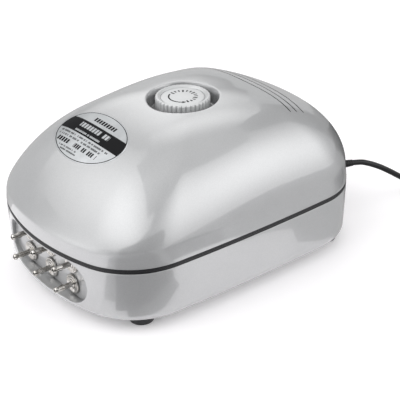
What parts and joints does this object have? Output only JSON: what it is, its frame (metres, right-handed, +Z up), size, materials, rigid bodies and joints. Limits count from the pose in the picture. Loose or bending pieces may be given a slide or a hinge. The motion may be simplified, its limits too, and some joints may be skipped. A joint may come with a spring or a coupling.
{
  "type": "aquarium air pump",
  "caption": "Mains air pump for an aquarium: domed two-part case on rubber feet, flow knob in a round well, barbed outlets in a front pocket, coiled lead.",
  "frame": {"origin": "on the floor under the middle of the case, outlet nozzles and cord boot included", "axes": "+Z up; -Y is the front, where the air outlets point; +X is the pump's own left seen from the front, the side on which the lead leaves the rear"},
  "size_m": [0.2302, 0.3953, 0.1239],
  "materials": {
    "silver_paint": "glossy light silver painted plastic",
    "black_rubber": "matt black rubber",
    "cord_rubber": "satin black flexible PVC",
    "diaphragm_rubber": "black moulded rubber",
    "knob_plastic": "satin light grey plastic",
    "nickel": "bright nickel plate on brass",
    "steel": "zinc-plated steel",
    "laminations": "laminated silicon steel",
    "copper_winding": "enamelled copper wire",
    "white_plastic": "natural white plastic",
    "board_green": "green circuit board",
    "magnet": "dark ferrite magnet",
    "hose_silicone": "translucent silicone hose",
    "felt": "white filter felt",
    "label_film": "silvery printed film",
    "wire_blue": "blue wire insulation"
  },
  "bodies": {
    "pump": {"top_cover": "silver_paint", "base_shell": "silver_paint", "filter_cover": "silver_paint", "seam_gasket": "black_rubber", "foot_front_left": "black_rubber", "foot_front_right": "black_rubber", "foot_rear_left": "black_rubber", "foot_rear_right": "black_rubber", "cord_boot": "black_rubber", "chassis_buffer_1": "black_rubber", "chassis_buffer_2": "black_rubber", "chassis_buffer_3": "black_rubber", "chassis_buffer_4": "black_rubber", "power_cord": "cord_rubber", "cord_coil": "cord_rubber", "mains_plug": "cord_rubber", "inner_lead": "cord_rubber", "diaphragm_left": "diaphragm_rubber", "diaphragm_right": "diaphragm_rubber", "valve_sheet_left": "diaphragm_rubber", "valve_sheet_right": "diaphragm_rubber", "outlet_nozzle_1": "nickel", "outlet_nozzle_2": "nickel", "outlet_nozzle_3": "nickel", "outlet_nozzle_4": "nickel", "outlet_nozzle_5": "nickel", "outlet_nozzle_6": "nickel", "case_screw_1": "steel", "case_screw_2": "steel", "case_screw_3": "steel", "case_screw_4": "steel", "core_bolt_left": "steel", "core_bolt_right": "steel", "potentiometer": "steel", "chassis_plate": "steel", "pivot_bracket": "steel", "clamp_ring_left": "steel", "clamp_ring_right": "steel", "magnet_core": "laminations", "coil_winding": "copper_winding", "coil_bobbin": "white_plastic", "outlet_manifold": "white_plastic", "pump_head_left": "white_plastic", "pump_head_right": "white_plastic", "head_cover_left": "white_plastic", "head_cover_right": "white_plastic", "terminal_block": "white_plastic", "control_board": "board_green", "air_hose_left": "hose_silicone", "air_hose_right": "hose_silicone", "filter_felt": "felt", "rating_label": "label_film", "coil_lead": "wire_blue"},
    "knob": {"control_knob": "knob_plastic", "knob_cap": "knob_plastic", "knob_spindle": "steel"},
    "arm_left": {"swing_arm_left": "white_plastic", "arm_magnet_left": "magnet"},
    "arm_right": {"swing_arm_right": "white_plastic", "arm_magnet_right": "magnet"}
  },
  "joints": [
    {"name": "knob_turn", "type": "hinge", "parent": "pump", "child": "knob", "pos_m": [0, 0.0022, 0.118], "axis": [0, 0, 1], "range_deg": [-140, 140]},
    {"name": "left_arm_swing", "type": "hinge", "parent": "pump", "child": "arm_left", "pos_m": [-0.0285, -0.034, 0.054], "axis": [0, 0, 1], "range_deg": [-2, 2], "stiffness_Nm_per_rad": 0.5, "deforming": ["diaphragm_left"]},
    {"name": "right_arm_swing", "type": "hinge", "parent": "pump", "child": "arm_right", "pos_m": [0.0285, -0.034, 0.054], "axis": [0, 0, 1], "range_deg": [-2, 2], "stiffness_Nm_per_rad": 0.5, "deforming": ["diaphragm_right"]}
  ],
  "couplings": [
    {"joint": "right_arm_swing", "follows": "left_arm_swing", "ratio": -1}
  ]
}
